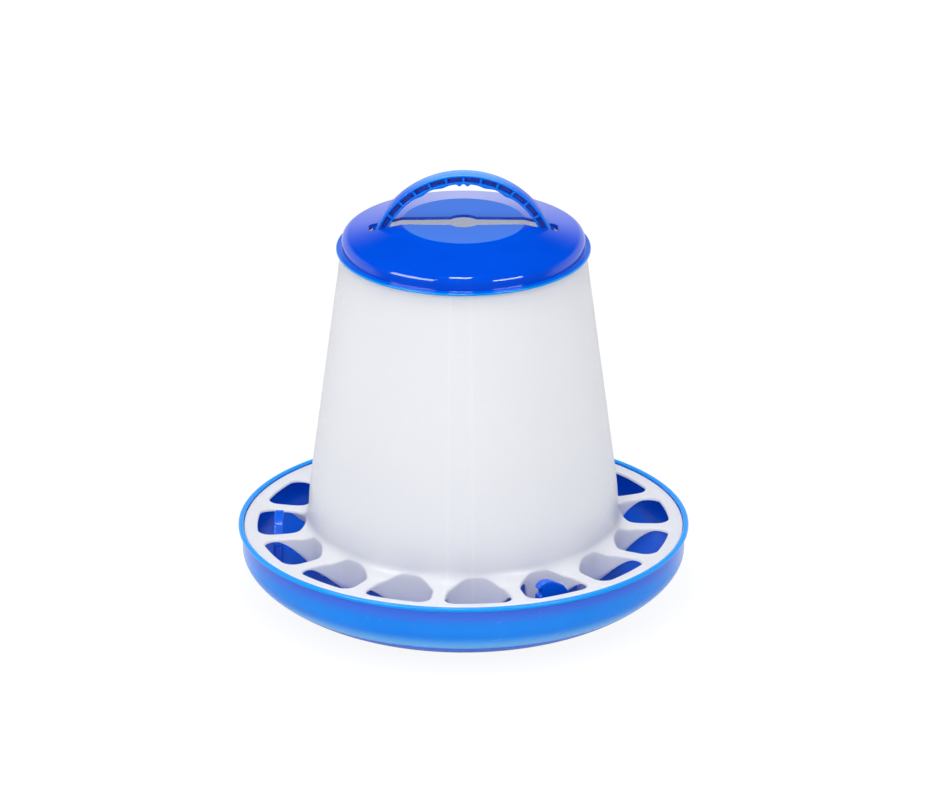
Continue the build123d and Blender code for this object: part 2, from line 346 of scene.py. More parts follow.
tray_section = rounded(
    [
        (0.0, spreader_height, 0),
        (6.0, spreader_height, 3.0),
        (spreader_radius, floor_thickness, 3.0),
        (base_radius, floor_thickness, 0),
    ]
)
tray_section += bezier(
    (base_radius, floor_thickness),
    (base_radius + corner_run, floor_thickness + corner_lift),
    (wall_radius - tray_wall, corner_height - corner_drop),
    (wall_radius - tray_wall, corner_height),
    20,
)
tray_section += rounded(
    [
        (wall_radius - tray_wall, corner_height + 0.5, 0),
        (ledge_radius, ledge_height, 0.4),
        (seat_radius, ledge_height, 0.4),
        (seat_radius, tray_height, 0.9),
        (rim_radius, tray_height, 1.1),
        (rim_radius, tray_height - lip_height, 1.0),
        (collar_radius, tray_height - lip_height, 0.5),
        (collar_radius, collar_bottom, 0.4),
        (wall_radius, collar_bottom, 0.4),
        (wall_radius, corner_height, 0),
    ]
)
tray_section += bezier(
    (wall_radius, corner_height),
    (wall_radius, corner_height - corner_drop),
    (base_radius + corner_run, corner_lift),
    (base_radius, 0),
    26,
)
tray_section += rounded(
    [
        (base_radius - 1, 0, 0),
        (spreader_radius - 2 * tray_wall, 0, 1.0),
        (3.0, spreader_height - floor_thickness, 2.0),
        (0.0, spreader_height - floor_thickness, 0),
    ]
)
tray = piece_from("tray_bowl", *lathe(tray_section, tray_sides), tray_blue)
lip_point = max(range(len(tray_section)), key=lambda k: sum(tray_section[k]))
inside = []
for index, (radius, height) in enumerate(tray_section):
    inside += [float(index < lip_point)] * (1 if radius < on_axis else tray_sides)
for name, values in (("inside", inside), ("outside", [1.0 - value for value in inside])):
    layer = tray.data.attributes.new(name, "FLOAT", "POINT")
    layer.data.foreach_set("value", values)
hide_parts("tray")
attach(tray, "tray")

# Hooks: three blue hooks of the same moulding that stand up from the tray's floor through
# every fifth port. Each has a round head with a nose, and a sloping back that the web rides
# over when the hopper is turned to lock it.
port_count = 15
port_phase = math.radians(-61.6)
hook_count = 3
hook_radius = 123.0
hook_depth = 6.0
hook_nose = 11.4
hook_overhang = 2.2
hook_back = 15.5
flange_top = 48.5
flange_thickness = 1.5
port_lip_depth = 3.0
groove_bottom = flange_top - port_lip_depth - 0.5
groove_top = flange_top + 0.5
head_low = groove_top + 1.8
head_top = flange_top + 5.4


def geometry_tree(name, sockets):
    """A new geometry tree that puts out one mesh, and its named inputs."""
    tree = bpy.data.node_groups.new(name, "GeometryNodeTree")
    tree.interface.new_socket("Geometry", in_out="OUTPUT", socket_type="NodeSocketGeometry")
    for label, kind in sockets.items():
        tree.interface.new_socket(label, in_out="INPUT", socket_type="NodeSocket" + kind)
    return tree, add_node(tree, "NodeGroupInput").outputs


def numbered_points(tree, count):
    """As many points as the count says, all in one place, and the number of each."""
    line = add_node(tree, "GeometryNodeMeshLine", {"Offset": (0, 0, 0), "Count": count})
    return line.outputs["Mesh"], add_node(tree, "GeometryNodeInputIndex").outputs["Index"]


def made_real(tree, copies, material):
    """Ends a geometry tree: makes its copies real and gives them their material."""
    real = add_node(tree, "GeometryNodeRealizeInstances", {"Geometry": copies}).outputs["Geometry"]
    paint = add_node(tree, "GeometryNodeSetMaterial", {"Geometry": real, "Material": material})
    add_node(tree, "NodeGroupOutput", {"Geometry": paint.outputs["Geometry"]})
    return tree


def copied(tree, points, shape, turn, **chosen):
    """Copies of an object on points, each with its own turn, on all points or the chosen ones."""
    original = add_node(tree, "GeometryNodeObjectInfo", {"Object": shape}).outputs["Geometry"]
    inputs = {"Points": points, "Instance": original, "Rotation": turn, **chosen}
    return add_node(tree, "GeometryNodeInstanceOnPoints", inputs).outputs["Instances"]


def grown(name, tree, values):
    """Runs a geometry tree with its named inputs and gives the plain mesh piece."""
    host = in_scene(name + "_host", bpy.data.meshes.new(name + "_host"))
    modifier = host.modifiers.new("shape", "NODES")
    modifier.node_group = tree
    for item in tree.interface.items_tree:
        if item.in_out == "INPUT" and item.name in values:
            modifier[item.identifier] = values[item.name]
    return settled(host, name)


def ring_tree():
    """Copies of a plain shape round the Z axis, with another shape on every nth place."""
    tree, source = geometry_tree(
        "ring_of_shapes",
        {
            "Count": "Int",
            "Start angle": "Float",
            "Shape": "Object",
            "Other shape": "Object",
            "Other every": "Int",
            "Material": "Material",
        },
    )
    line, number = numbered_points(tree, source["Count"])
    step = maths(tree, "DIVIDE", 2 * math.pi, source["Count"])
    angle = maths(tree, "MULTIPLY_ADD", number, step, source["Start angle"])
    turn = add_node(tree, "ShaderNodeCombineXYZ", {"Z": angle}).outputs["Vector"]
    remainder = maths(tree, "FLOORED_MODULO", number, source["Other every"])
    is_other = maths(tree, "LESS_THAN", remainder, 0.5)
    is_plain = maths(tree, "SUBTRACT", 1.0, is_other)
    gather = add_node(tree, "GeometryNodeJoinGeometry")
    for label, chosen in (("Shape", is_plain), ("Other shape", is_other)):
        copies = copied(tree, line, source[label], turn, Selection=chosen)
        fill(tree, gather, {"Geometry": copies})
    return made_real(tree, gather.outputs["Geometry"], source["Material"])


def slab_between(name, outline, low, high, place):
    """A closed slab from an outline in (t, z) between two depths; place gives (x, y, z)."""
    count = len(outline)
    points = [place(depth, t, z) for depth in (low, high) for t, z in outline]
    near, far = range(count), range(count, 2 * count)
    return piece_from(name, points, [list(near), list(far)[::-1]] + between(near, far))


def softened(piece, name, width, segments, limit):
    """Rounds the sharp edges of a piece and keeps its flat faces flat in the shading."""
    bevel = piece.modifiers.new("rounding", "BEVEL")
    bevel.width = width * MM
    bevel.segments = segments
    bevel.limit_method = "ANGLE"
    bevel.angle_limit = math.radians(limit)
    piece.modifiers.new("even_shading", "WEIGHTED_NORMAL")
    return settled(piece, name)


def bent(a, b, c, t):
    """The point at t on a curve from a to c that is drawn towards b."""
    return weighed((a, b, c), ((1 - t) ** 2, 2 * t * (1 - t), t * t))


def hook_point(depth, t, z):
    """A point of the hook; its foot follows the slope of the tray's floor."""
    return (depth, t, z + (depth - hook_radius) * foot_slope if z == hook_foot else z)


head_steps = 12
tip, crown, heel = (-hook_nose, head_low), (-3.8, head_top), (hook_back / 2, flange_top)
pull = (2 * crown[0] - (tip[0] + heel[0]) / 2, 2 * crown[1] - (tip[1] + heel[1]) / 2)
hook_arc = [bent(tip, pull, heel, index / head_steps) for index in range(head_steps + 1)]
hook_foot = 9.0
foot_slope = 0.5
groove_end = hook_overhang - hook_nose
hook_outline = [(-hook_nose, hook_foot), (-hook_nose, groove_bottom)]
hook_outline += [(groove_end, groove_bottom), (groove_end, groove_top)]
hook_outline += [(-hook_nose, groove_top)] + hook_arc
hook_outline += [(hook_back, groove_bottom - hook_back / 2), (hook_back, hook_foot)]
hook = slab_between(
    "hook",
    hook_outline,
    hook_radius - hook_depth / 2,
    hook_radius + hook_depth / 2,
    hook_point,
)
hook = softened(hook, "hook", width=1.1, segments=4, limit=25.0)
ring = ring_tree()
hook_blue = plastic(
    "hook_blue", (0, 0.09, 0.70), (0, 0.12, 0.78), roughness=0.16, ripple=40, gloss=0.5
)
hooks = grown(
    "tray_hooks",
    ring,
    {
        "Count": hook_count,
        "Start angle": port_phase,
        "Shape": hook,
        "Other shape": hook,
        "Other every": 1,
        "Material": hook_blue,
    },
)
bpy.data.objects.remove(hook)
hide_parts("tray")
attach(hooks, "tray")

# Hopper: one milky polypropylene moulding, a cone that bends upright at the hip, a flare,
# and a flat flange with fifteen pecking ports. A scoop wall hangs below the inner end of
# each port. Made here as one sector with one port, repeated round the axis.
mouth_radius = 81.2
hopper_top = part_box("hopper")[1].z / MM
flange_radius = 146.1
hip_radius = 102.8
hip_height = 74.0
hip_blend = 12.0
crease_radius = 103.3
crease_height = 57.5
hopper_wall = 2.0
port_inner = crease_radius + 1.2
port_outer = flange_radius - 8.8
web_width = 9.8
port_inner_corner = 16.0
port_outer_corner = 9.0
port_edge = 2.0
scoop_drop = 19.0
scoop_reach = 21.5
scoop_wall = 1.6
flare_start = crease_radius
flare_radius = crease_height - flange_top
flare_middle = flare_start + flare_radius
half_sector = math.pi / port_count
inner_steps = 18
side_steps = 18
outer_steps = 26
edge_round = 0.45
wall_lean = (hip_radius - mouth_radius) / (hopper_top - hip_height)
corner_steps = 16
corner_middle = corner_steps // 2
end_steps = 24
hip_steps = 8
cone_steps = 10


def corner_arc(corner, back, ahead, radius):
    """Points of the arc that rounds a corner, from the side along back to the side along ahead."""
    half = back.angle(ahead) / 2
    middle = corner + (back + ahead).normalized() * (radius / math.sin(half))
    first = corner + back * (radius / math.tan(half)) - middle
    last = corner + ahead * (radius / math.tan(half)) - middle
    spokes = [first.slerp(last, step / corner_steps, first) for step in range(corner_steps + 1)]
    return [tuple(middle + spoke.normalized() * radius) for spoke in spokes]


def port_outline():
    """Dense closed outline of the port on the X axis, with true arcs at its four corners."""
    slope = math.tan(half_sector)
    offset = web_width / 2 / math.cos(half_sector)
    inner_half = port_inner * slope - offset
    a = 1 + slope**2
    b = -2 * slope * offset
    c = offset**2 - port_outer**2
    corner_x = (-b + math.sqrt(b * b - 4 * a * c)) / (2 * a)
    corner = Vector((corner_x, offset - corner_x * slope))
    inner_low = Vector((port_inner, -inner_half))
    side = (corner - inner_low).normalized()
    tangent = Vector((-corner.y, corner.x)).normalized()
    dense = corner_arc(inner_low, Vector((0, 1)), side, port_inner_corner)
    bend = corner_arc(corner, -side, tangent, port_outer_corner)
    reach = port_outer_corner / math.tan((-side).angle(tangent) / 2)
    start = math.atan2(corner.y, corner.x) + reach / port_outer
    # The last points of the corner's arc are eased onto the outer end's own circle.
    for index, point in enumerate(bend):
        here = Vector(point)
        ease = max(0.0, (index - corner_middle) / corner_middle)
        length = here.length + (min(port_outer, here.length) - here.length) * ease
        dense.append(tuple(here.normalized() * length))
    corners = len(dense)
    for index in range(1, end_steps):
        dense.append(turned(port_outer, start * (1 - 2 * index / end_steps)))
    dense += [(x, -y) for x, y in reversed(dense[:corners])]
    return dense


def port_points():
    """The port's outline in four runs between its corners: side, outer end, side, inner end."""
    dense = port_outline()
    count = len(dense)
    lengths = [0.0]
    for index in range(count):
        step = Vector(dense[(index + 1) % count]) - Vector(dense[index])
        lengths.append(lengths[-1] + step.length)
    corner = corner_steps + 1
    far = 2 * corner + end_steps - 1
    marks = [lengths[start + corner_middle] for start in (0, corner, far, far + corner)]
    marks.append(marks[0] + lengths[count])
    points = []
    runs = (side_steps, outer_steps, side_steps, inner_steps)
    for start, end, steps in zip(marks, marks[1:], runs):
        for step in range(steps):
            want = (start + (end - start) * step / steps) % lengths[count]
            index = max(k for k in range(count) if lengths[k] <= want + 1e-9)
            share = (want - lengths[index]) / (lengths[index + 1] - lengths[index])
            points.append(Vector(dense[index]).lerp(Vector(dense[(index + 1) % count]), share))
    return points


def flare_length(radius, start, bend):
    """Length along the flare's section from its top out to a radius."""
    if radius >= flare_middle:
        return bend * math.pi / 2 + radius - flare_middle
    share = (flare_middle - radius) / (flare_middle - start)
    return bend * math.acos(min(1.0, share))


def flare_reach(length, bend, start):
    """Radius at a length along the flare's section."""
    if length >= bend * math.pi / 2:
        return flare_middle + length - bend * math.pi / 2
    return flare_middle - (flare_middle - start) * math.cos(length / bend)


def flare_height(radius, start, low):
    """Height of the flare's section at a radius: a quarter ellipse down to the flange."""
    if radius >= flare_middle:
        return low
    share = min(1.0, (flare_middle - radius) / (flare_middle - start))
    return crease_height - (crease_height - low) * math.sqrt(max(0.0, 1 - share**2))


def cone_section():
    """The cone's section from the flare up the outside, over the mouth and down the inside."""
    foot_lean = (crease_radius - hip_radius) / (hip_height - crease_height)
    above = (hip_radius - wall_lean * hip_blend, hip_height + hip_blend)
    below = (hip_radius + foot_lean * hip_blend, hip_height - hip_blend)
    hip = (hip_radius, hip_height)
    outside = [(crease_radius, crease_height + 1.0), below]
    outside += [bent(below, hip, above, step / hip_steps) for step in range(1, hip_steps + 1)]
    for index in range(1, cone_steps + 1):
        height = above[1] + (hopper_top - 1.0 - above[1]) * index / cone_steps
        outside.append((mouth_radius + wall_lean * (hopper_top - height), height))
    top = [
        (mouth_radius + 0.06, hopper_top - 0.5),
        (mouth_radius - 0.25, hopper_top - 0.08),
        (mouth_radius - 0.6, hopper_top),
        (mouth_radius - 1.4, hopper_top),
        (mouth_radius - 1.75, hopper_top - 0.08),
        (mouth_radius - 2.0, hopper_top - 0.5),
    ]
    inside = [(radius - hopper_wall, height) for radius, height in reversed(outside[1:])]
    inside.append((crease_radius - hopper_wall, crease_height + 3.0))
    return outside + top + inside


def sector(name, hooked):
    """Sector with one port, open at both sides; a hooked port has no wall on its nose side."""
    loop = port_points()
    count = len(loop)
    normals = []
    for index in range(count):
        along = loop[(index + 1) % count] - loop[index - 1]
        normals.append(Vector((along.y, -along.x)).normalized())
    points = []
    faces = []
    under_start = flare_start - hopper_wall
    under_level = flange_top - flange_thickness
    under_bend = flare_radius + flange_thickness
    end_rounding, web_rounding, rounding_run = 0.5, 1.1, 5.0
    scoop_curve = 1.6
    nose_gap, nose_run = 10.5, 2.0

    def add_row(make):
        start = len(points)
        points.extend(make(index) for index in range(count))
        return list(range(start, start + count))

    def softness(index):
        """Rounding of the port's edge: soft along the webs, tighter at the two ends."""
        x = loop[index].x
        rise = min(1.0, max(0.0, (x - port_inner) / rounding_run))
        fall = min(1.0, max(0.0, (port_outer - x) / rounding_run))
        return end_rounding + web_rounding * rise * fall

    def wall_depth(index):
        """Depth of the hanging wall's lower edge below the flange's top."""
        x, y = loop[index]
        share = max(0.0, min(1.0, (port_inner + scoop_reach - x) / scoop_reach))
        extra = (scoop_drop - port_edge) * share**scoop_curve
        if hooked:
            cut = min(1.0, max(0.0, (y + nose_gap) / nose_run))
            extra *= cut * cut * (3 - 2 * cut)
        return port_edge + extra

    def border(index, inner, bend):
        """Point of the sector's border that a point of the port's outline leads to."""
        outer = flange_radius - edge_round
        length = flare_length(outer, inner, bend)
        if index < side_steps:
            return flare_reach(length * index / side_steps, bend, inner), -half_sector
        index -= side_steps
        if index < outer_steps:
            return outer, half_sector * (2 * index / outer_steps - 1)
        index -= outer_steps
        if index < side_steps:
            return flare_reach(length * (1 - index / side_steps), bend, inner), half_sector
        return inner, half_sector * (1 - 2 * (index - side_steps) / inner_steps)

    def skin_row(share, start, bend, level, away):
        """Row on the flange's top or underside, part of the way from the port to the border."""
        def make(index):
            here = loop[index] + normals[index] * away(index)
            far_radius, far_angle = border(index, start, bend)
            a = flare_length(here.length, start, bend)
            b = flare_length(far_radius, start, bend)
            radius = flare_reach(a + (b - a) * share, bend, start)
            angle = math.atan2(here.y, here.x)
            angle += (far_angle - angle) * share
            return turned(radius, angle, flare_height(radius, start, level))
        return make

    def round_row(share):
        """Row of the port's rounded upper edge."""
        def make(index):
            soft = softness(index)
            here = loop[index] + normals[index] * soft * (1 - math.cos(share * math.pi / 2))
            drop = soft * (1 - math.sin(share * math.pi / 2))
            return (here.x, here.y, flare_height(here.length, flare_start, flange_top) - drop)
        return make

    def wall_row(out, share, lift=0.0):
        """Row on one face of the hanging wall, from its lower edge (0) to its top (1)."""
        def make(index):
            here = loop[index] + normals[index] * out
            low = flange_top - wall_depth(index) + lift
            if out < scoop_wall / 2:
                high = flare_height(loop[index].length, flare_start, flange_top) - softness(index)
            else:
                full = loop[index] + normals[index] * scoop_wall
                high = flare_height(full.length, under_start, under_level)
            return (here.x, here.y, low + (high - low) * share)
        return make

    rows = []
    for share in (1.0, 0.75, 0.5, 0.3, 0.12, 0.0):
        make = skin_row(share, under_start, under_bend, under_level, lambda index: scoop_wall)
        rows.append(add_row(make))
    for share in (0.8, 0.5, 0.2):
        rows.append(add_row(wall_row(scoop_wall, share)))
    for out, lift in ((1.0, 0.35), (0.85, 0.1), (0.6, 0.0), (0.4, 0.0), (0.15, 0.1), (0.0, 0.35)):
        rows.append(add_row(wall_row(scoop_wall * out, 0.0, lift)))
    for share in (0.2, 0.4, 0.6, 0.8):
        rows.append(add_row(wall_row(0.0, share)))
    for step in range(7):
        rows.append(add_row(round_row(step / 6)))
    for share in (0.1, 0.22, 0.36, 0.52, 0.68, 0.84, 1.0):
        rows.append(add_row(skin_row(share, flare_start, flare_radius, flange_top, softness)))
    for a, b in zip(rows, rows[1:]):
        faces += between(a, b)

    def strip(run, section):
        """Surface from the last row over a section, round the axis, to the first row."""
        previous = [rows[-1][k] for k in run]
        for radius, height in section:
            start = len(points)
            for k in run:
                x, y, _ = points[rows[0][k]]
                points.append(turned(radius, math.atan2(y, x), height))
            row = list(range(start, start + len(run)))
            faces.extend(between(previous, row, closed=False))
            previous = row
        faces.extend(between(previous, [rows[0][k] for k in run], closed=False))

    edge_section = [
        (flange_radius - 0.13, flange_top - 0.13),
        (flange_radius, flange_top - edge_round),
        (flange_radius, under_level + edge_round),
        (flange_radius - 0.13, under_level + 0.13),
    ]
    first = side_steps
    strip(range(first, first + outer_steps + 1), edge_section)
    first = side_steps * 2 + outer_steps
    strip([(first + k) % count for k in range(inner_steps + 1)], cone_section())
    return piece_from(name, points, faces)


def surfaced(tree, share, first, second):
    """Makes two shaders, mixed by a share, the surface of a material."""
    both = add_node(tree, "ShaderNodeMixShader", {"Fac": share, 1: first, 2: second})
    fill(tree, tree.nodes["Material Output"], {"Surface": both.outputs["Shader"]})


def let_light_through(material, shares, tint):
    """Mixes in light that comes through the wall, by (height in mm, share), less where thick."""
    tree = material.node_tree
    height = own_coordinates(tree)["Z"]
    level = ranged(tree, height, 0.0, hopper_top * MM)
    graded = add_node(tree, "ShaderNodeValToRGB", {"Fac": level})
    stops = graded.color_ramp.elements
    while len(stops) < len(shares):
        stops.new(0.5)
    for stop, (height, share) in zip(stops, shares):
        stop.position = height / hopper_top
        stop.color = (share, share, share, 1)
    through = add_node(tree, "ShaderNodeBsdfTranslucent", {"Color": (*tint, 1)})
    reflected = tree.nodes["Principled BSDF"].outputs["BSDF"]
    surfaced(tree, graded.outputs["Color"], reflected, through.outputs["BSDF"])
    return material


def painted_highlight_lines(material, azimuths, half_width, tint):
    """Faint lighter upright lines on the front of the cone: painted highlights of upright strip
    lights.
    """
    tree = material.node_tree
    place = own_coordinates(tree)
    around = maths(tree, "ARCTAN2", place["Y"], place["X"])
    for azimuth in azimuths:
        away = maths(tree, "ABSOLUTE", maths(tree, "SUBTRACT", around, math.radians(azimuth)))
        tinted(tree, eased(tree, away, half_width, 0.0, math.radians(1)), tint)
    return material


milky = let_light_through(
    plastic(
        "milky_hopper",
        (0.935, 0.94, 0.945),
        (0.965, 0.967, 0.97),
        roughness=0.22,
        ripple=10,
        gloss=0.4,
    ),
    ((41.0, 0.12), (46.0, 0.40), (58.0, 0.37), (105.0, 0.46)),
    tint=(0.98, 0.985, 0.99),
)
# Two painted highlight lines: lighter upright stripes on the cone's front.
painted_highlight_lines(milky, (-96.0, -86.5), half_width=1.1, tint=(1.0, 1.0, 1.0))
plain_sector = sector("plain_sector", False)
hooked_sector = sector("hooked_sector", True)
hopper = grown(
    "hopper_shell",
    ring,
    {
        "Count": port_count,
        "Start angle": port_phase,
        "Shape": plain_sector,
        "Other shape": hooked_sector,
        "Other every": port_count // hook_count,
        "Material": milky,
    },
)
outward(hopper)
bpy.data.objects.remove(plain_sector)
bpy.data.objects.remove(hooked_sector)
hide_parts("hopper")
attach(hopper, "hopper")

# Handle sockets: two small cups of the same milky moulding, one at each end of the mouth's
# inside, that the handle's feet snap into. Each grows out of the cone's wall.
socket_low = hopper_top - 25.0
socket_high = hopper_top - 10.0
socket_half = 7.3
cup_half = 5.5
socket_near = 65.3
cup_near = 67.1
cup_far = 73.7
cup_floor = 2.0
wall_overlap = 0.3


def capped(rings):
    """Faces between rings that follow each other, closed at both ends."""
    faces = [rings[0][::-1], rings[-1]]
    for a, b in zip(rings, rings[1:]):
        faces += between(a, b)
    return faces


def joined(*shapes):
    """The points and faces of several shapes as one."""
    points = []
    faces = []
    for more_points, more_faces in shapes:
        faces += [[len(points) + corner for corner in face] for face in more_faces]
        points += more_points
    return points, faces


def socket_cup(side):
    """Points and faces of one cup, open at the top; side is 1 or -1 along X."""
    points = []
    rings = []
    for level, near, far, half in (
        (socket_low, socket_near, None, socket_half),
        (socket_high, socket_near, None, socket_half),
        (socket_high, cup_near, cup_far, cup_half),
        (socket_low + cup_floor, cup_near, cup_far, cup_half),
    ):
        if far is None:
            far = mouth_radius - hopper_wall / 2 - wall_overlap + wall_lean * (hopper_top - level)
        rings.append(list(range(len(points), len(points) + 4)))
        points += [(side * near, -half, level), (side * far, -half, level)]
        points += [(side * far, half, level), (side * near, half, level)]
    return points, capped(rings)


cups = piece_from("socket_cups", *joined(socket_cup(1), socket_cup(-1)), milky)
sockets = softened(cups, "handle_sockets", width=0.4, segments=3, limit=40.0)
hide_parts("hopper")
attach(sockets, "hopper")

# Lid: one blue polypropylene moulding that rests on the hopper's mouth, with a thin lip,
# a rounded shoulder, a flat disc and a slot that lets it lift over the handle.
# Turned section with the slot cut through, its edges softened as the mould leaves them.
lid_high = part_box("lid")[1]
lip_radius = lid_high.x / MM
disc_top = lid_high.z / MM
lid_bottom = disc_top - 20.2
lid_sheet = 2.0
lid_sides = 256
lid_lip_height = 1.8
skirt_radius = 80.7
skirt_top = lid_bottom + 10.8
shoulder_round = 8.0
disc_radius = 40.8
slot_half_length = 62.8
slot_width = 15.0
slot_end_width = 11.8
slot_corner = 3.0
slot_hole_radius = 11.3
spigot_outer = mouth_radius - hopper_wall - 0.6
spigot_inner = spigot_outer - 1.6
spigot_bottom = lid_bottom - 4.5
top_slope = (disc_top - skirt_top) / (skirt_radius - disc_radius)
lid_outline = [
    (0.0, disc_top, 0),
    (disc_radius, disc_top, 4.0),
    (skirt_radius, skirt_top, shoulder_round),
    (skirt_radius, lid_bottom + lid_lip_height, 0.6),
    (lip_radius, lid_bottom + lid_lip_height, 0.8),
    (lip_radius, lid_bottom, 0.7),
    (spigot_outer, lid_bottom, 0.3),
    (spigot_outer, spigot_bottom, 0.5),
    (spigot_inner, spigot_bottom, 0.5),
    (spigot_inner, lid_bottom + lid_lip_height, 0.3),
    (skirt_radius - lid_sheet, lid_bottom + lid_lip_height, 0.3),
    (
        skirt_radius - lid_sheet,
        skirt_top - lid_sheet + top_slope * lid_sheet,
        shoulder_round - lid_sheet,
    ),
    (disc_radius, disc_top - lid_sheet, 2.0),
    (0.0, disc_top - lid_sheet, 0),
]
lid_blue = banded(
    plastic(
        "lid_blue",
        (0.0, 0.056, 0.59),
        (0.0, 0.072, 0.64),
        roughness=0.03,
        ripple=30,
        gloss=0.5,
        relief_height=0.00005,
    ),
    [
        # Painted light: a lighter cyan band round the lip's lower edge.
        (None, lid_bottom - 0.5, 0.8, lid_bottom + 1.7, 0.6, (0.0, 0.26, 0.80)),
        # Painted reflection: the flat disc on top is tinted lighter, the bright backdrop seen in
        # it.
        (None, disc_top - 0.1, 0.14, disc_top + 2.0, 1.0, (0.0, 0.13, 0.66)),
    ],
)
lid_body = piece_from("lid_body", *lathe(rounded(lid_outline, steps=10), lid_sides))
side_slope = (slot_width - slot_end_width) / 2 / slot_half_length
hole_x = math.sqrt(slot_hole_radius**2 - (slot_width / 2) ** 2)
hole_y = slot_width / 2 - side_slope * hole_x
hole_steps = 12
hole_turn = math.atan2(hole_y, hole_x) - math.pi / 2
quarter = []
for index in range(hole_steps):
    quarter.append(turned(slot_hole_radius, math.pi / 2 + hole_turn * index / hole_steps))
quarter += rounded(
    [
        (hole_x, hole_y, 0),
        (slot_half_length, slot_end_width / 2, slot_corner),
        (slot_half_length, 0, 0),
    ]
)
slot_outline = quarter[:-1] + [(x, -y) for x, y in reversed(quarter[:-1])]
slot_outline += [(-x, -y) for x, y in quarter[1:-1]]
slot_outline += [(-x, y) for x, y in reversed(quarter[1:-1])]
cutter = slab_between(
    "slot_cutter",
    slot_outline,
    lid_bottom + lid_lip_height + 3.0,
    disc_top + 10,
    lambda level, x, y: (x, y, level),
)
cut = lid_body.modifiers.new("slot", "BOOLEAN")
cut.operation = "DIFFERENCE"
cut.solver = "EXACT"
cut.object = cutter
lid_body = settled(lid_body, "lid_cut")
bpy.data.objects.remove(cutter)
lid = softened(lid_body, "lid_shell", width=0.45, segments=3, limit=50.0)
lid.data.materials.clear()
lid.data.materials.append(lid_blue)
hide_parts("lid")
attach(lid, "lid")

# Handle: one blue polypropylene moulding, an arch of I section with cross ribs between its
# two flanges, swellings under the fingers and two teeth that keep a hanging cord centred.
# Its feet go down through the lid's slot and snap into the hopper.
handle_low, handle_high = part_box("handle")
handle_top = handle_high.z / MM
handle_radius = 61.75
arch_center = handle_top - handle_radius
handle_depth = 6.6
handle_width = 10.4
outer_flange = 1.6
inner_flange = 1.5
handle_web = 1.8
rib_thickness = 1.6
rib_pitch = 11.3
rib_count = 11
arch_angle = 67.0
foot_reach = 70.4
foot_bottom = handle_low.z / MM
knee = foot_bottom + 13.0
grip_bump = 1.1
grip_length = 4.2
grip_angles = (15.3, 30.6)
tooth_offset = 2.7
tooth_half = 1.9
tooth_drop = 1.5
arch_inner = handle_radius - handle_depth
arch_middle = handle_radius - handle_depth / 2


def arch_painted_light(material):
    """Paints shade in the arch's hollows, highlights on its front edges and a reflection on its
    crown.
    """
    tree = material.node_tree
    hollow_shade_tint, edge_highlight_tint, crown_reflection_tint = (0.05, 0.09, 0.55), (0.0, 0.17, 0.78), (0.09, 0.31, 0.80)
    half = handle_width / 2
    web_low = arch_inner + inner_flange
    web_high = handle_radius - outer_flange

    def vector_maths(operation, inputs):
        return add_node(tree, "ShaderNodeVectorMath", inputs, operation=operation).outputs

    place = add_node(tree, "ShaderNodeTexCoord").outputs["Object"]
    centred = vector_maths("SUBTRACT", {0: place, 1: (0, 0, arch_center * MM)})["Vector"]
    flat = vector_maths("MULTIPLY", {0: centred, 1: (1, 0, 1)})["Vector"]
    out = vector_maths("LENGTH", {0: flat})["Value"]
    own = add_node(tree, "ShaderNodeSeparateXYZ", {"Vector": place}).outputs
    across = maths(tree, "ABSOLUTE", own["Y"])

    above_web = eased(tree, out, web_low - 0.1, web_low + 0.1)
    below_web = eased(tree, out, web_high + 0.1, web_high - 0.1)
    within = maths(tree, "MULTIPLY", above_web, below_web)
    hollow = maths(tree, "MULTIPLY", within, eased(tree, across, half - 0.9, half - 1.3))
    on_arch = eased(tree, own["Z"], arch_center + 22.0, arch_center + 24.0)
    # Painted shade: the hollows between the flanges are tinted violet-dark.
    tinted(tree, maths(tree, "MULTIPLY", hollow, on_arch), hollow_shade_tint)
    # Painted highlight: a lighter band along both front edges of the arch.
    tinted(tree, eased(tree, across, half - 0.5, half - 0.15), edge_highlight_tint)
    # Painted reflection: a paler stretch on top of the crown, an overhead light seen in it.
    on_top = eased(tree, out, handle_radius - 0.7, handle_radius - 0.2)
    high_up = eased(tree, own["Z"], handle_top - 16.0, handle_top)
    tinted(tree, maths(tree, "MULTIPLY", on_top, high_up), crown_reflection_tint)
    return material


handle_blue = arch_painted_light(
    plastic(
        "handle_blue", (0, 0.075, 0.62), (0, 0.105, 0.70), roughness=0.2, ripple=50, gloss=0.12
    )
)


def i_section(pocket, bump):
    """Closed section (across, up) of the arch; pocket is the depth of the hollow in each side."""
    half = handle_width / 2
    floor = half - pocket
    low = -handle_depth / 2 - bump
    high = handle_depth / 2
    under_outer = high - outer_flange
    over_inner = -high + inner_flange
    soft = 0.55
    small = min(0.25, pocket / 2)
    right = [
        (half - soft, high),
        (half - soft * 0.3, high - soft * 0.3),
        (half, high - soft),
        (half, under_outer + 0.25),
        (half - small, under_outer),
        (floor + small, under_outer),
        (floor, under_outer - 0.25),
        (floor, over_inner + 0.25),
        (floor + small, over_inner),
        (half - small, over_inner),
        (half, over_inner - 0.25),
        (half, low + soft),
        (half - soft * 0.3, low + soft * 0.3),
        (half - soft, low),
    ]
    return right + [(0.0, low)] + [(-x, y) for x, y in reversed(right)] + [(0.0, high)]


def swelling(angle):
    """How far the inner edge stands in at an angle: between the fingers, and at the two teeth."""
    run = math.radians(abs(angle)) * arch_inner
    value = 0.0
    for place in grip_angles:
        away = run - math.radians(place) * arch_inner
        value += grip_bump * math.exp(-((away / grip_length) ** 2))
    beside = abs(run - tooth_offset) / tooth_half
    return max(value, tooth_drop * (1 - beside**1.5)) if beside < 1 else value


